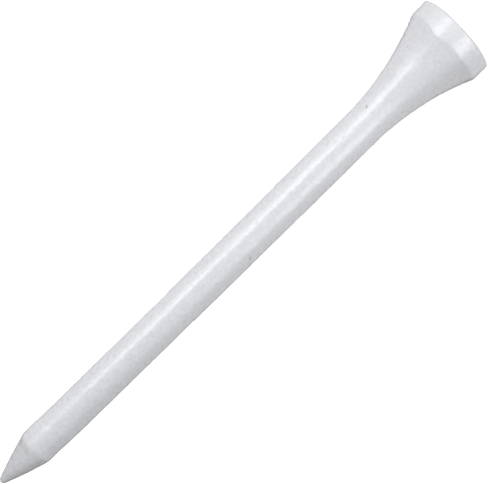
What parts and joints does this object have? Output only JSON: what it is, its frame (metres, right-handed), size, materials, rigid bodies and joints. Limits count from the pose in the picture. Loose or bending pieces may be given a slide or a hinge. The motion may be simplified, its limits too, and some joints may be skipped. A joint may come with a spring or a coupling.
{
  "type": "golf tee",
  "caption": "Turned wooden golf tee in white paint: a slim round shank, a conical point that pushes into turf, and a flared, banded head with a shallow cup for the ball.",
  "frame": {"origin": "end of the point, on the tee's axis", "axes": "+Z along the tee's axis, from the point up to the cup"},
  "size_m": [0.0114, 0.0114, 0.0825],
  "materials": {
    "white_paint_on_wood": "satin"
  },
  "bodies": {
    "root": {"tee_body": "white_paint_on_wood"}
  },
  "joints": []
}
